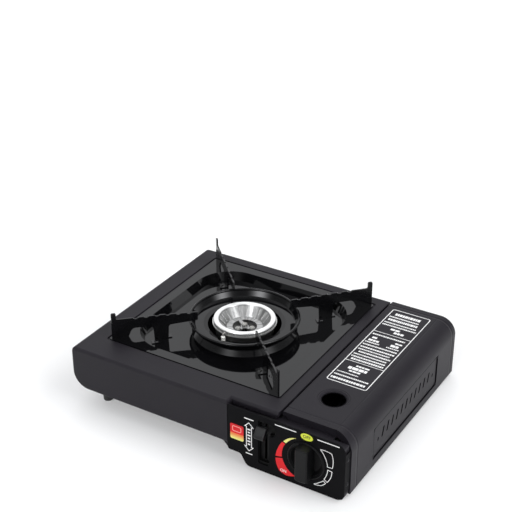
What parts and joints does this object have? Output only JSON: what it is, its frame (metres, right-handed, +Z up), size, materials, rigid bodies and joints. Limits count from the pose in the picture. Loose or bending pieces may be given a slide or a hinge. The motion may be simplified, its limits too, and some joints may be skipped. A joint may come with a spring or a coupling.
{
  "type": "butane cassette stove",
  "caption": "Table-top single-burner gas stove for a butane cassette, with a hinged cover, lift-off drip tray, toothed pan supports, control knob and locking lever.",
  "frame": {"origin": "centre of the whole object's box, on the table it stands on", "axes": "+X to the right of a person facing the control panel, +Y to the rear, +Z up"},
  "size_m": [0.34, 0.283, 0.104],
  "materials": {
    "body_paint": "satin black powder coat",
    "panel_paint": "matte black print on sheet",
    "enamel": "glossy black enamel",
    "arm_enamel": "satin black enamel",
    "zinc_steel": "zinc-plated sheet steel",
    "ring_alloy": "turned bright aluminium",
    "cast_alloy": "as die-cast",
    "brass": "turned brass",
    "copper_pipe": "drawn copper tube",
    "black_plastic": "fine-textured black plastic",
    "igniter_plastic": "moulded plastic",
    "lead_sleeve": "silicone sleeve",
    "rubber": "matte rubber",
    "ceramic": "glazed white ceramic",
    "rod_steel": "drawn wire"
  },
  "bodies": {
    "stove": {"base_pan": "zinc_steel", "body_cover": "body_paint", "burner_body": "cast_alloy", "burner_bracket": "zinc_steel", "burner_head": "ring_alloy", "burner_screws": "zinc_steel", "cartridge_guide": "zinc_steel", "cartridge_seal": "rubber", "control_panel": "panel_paint", "electrode": "rod_steel", "electrode_bracket": "zinc_steel", "electrode_insulator": "ceramic", "foot_left_front": "rubber", "foot_left_rear": "rubber", "foot_right_front": "rubber", "foot_right_rear": "rubber", "front_bridge": "zinc_steel", "gas_jet": "brass", "gas_pipe": "copper_pipe", "igniter_wire": "lead_sleeve", "jet_holder": "zinc_steel", "lever_guide": "black_plastic", "lever_pivot": "zinc_steel", "lever_spring": "zinc_steel", "lid_catch": "zinc_steel", "lid_hinge_front": "zinc_steel", "lid_hinge_pins": "zinc_steel", "lid_hinge_rear": "zinc_steel", "mixing_tube": "zinc_steel", "panel_screws": "zinc_steel", "partition": "zinc_steel", "piezo_igniter": "igniter_plastic", "regulator_body": "cast_alloy", "regulator_cap": "cast_alloy", "regulator_diaphragm": "rubber", "regulator_screws": "zinc_steel", "regulator_spring": "zinc_steel", "slide_rivets": "zinc_steel"},
    "lid": {"cartridge_lid": "body_paint"},
    "knob": {"knob": "black_plastic", "valve_spindle": "brass", "igniter_cam": "zinc_steel"},
    "igniter_plunger": {"igniter_plunger": "igniter_plastic"},
    "lock_lever": {"lock_lever": "zinc_steel", "lever_cap": "black_plastic", "lever_drive_pin": "zinc_steel"},
    "cartridge_slide": {"cartridge_slide": "zinc_steel", "pusher_spring": "zinc_steel"},
    "drip_tray": {"drip_tray": "enamel", "burner_bowl": "enamel", "arm_rivets": "zinc_steel", "pot_arm_front_left": "arm_enamel", "pot_arm_front_right": "arm_enamel", "pot_arm_rear_left": "arm_enamel", "pot_arm_rear_right": "arm_enamel"}
  },
  "joints": [
    {"name": "lid_hinge", "type": "hinge", "parent": "stove", "child": "lid", "pos_m": [0.0908, 0.0115, 0.07], "axis": [0, -1, 0], "range_deg": [0, 95]},
    {"name": "drip_tray_lift", "type": "slide", "parent": "stove", "child": "drip_tray", "axis": [0, 0, 1], "range_m": [0, 0.06]},
    {"name": "knob_turn", "type": "hinge", "parent": "stove", "child": "knob", "pos_m": [0.126, -0.1295, 0.0365], "axis": [0, -1, 0], "range_deg": [0, 130]},
    {"name": "igniter_press", "type": "slide", "parent": "stove", "child": "igniter_plunger", "axis": [-1, 0, 0], "range_m": [0, 0.0032]},
    {"name": "lever_press", "type": "hinge", "parent": "stove", "child": "lock_lever", "pos_m": [0.0766, -0.0775, 0.039], "axis": [1, 0, 0], "range_deg": [0, 30]},
    {"name": "cartridge_push", "type": "slide", "parent": "stove", "child": "cartridge_slide", "axis": [0, -1, 0], "range_m": [0, 0.0094]}
  ],
  "couplings": [
    {"joint": "igniter_press", "follows": "knob_turn", "m_per_rad": 0.0014102},
    {"joint": "cartridge_push", "follows": "lever_press", "m_per_rad": 0.017795}
  ]
}
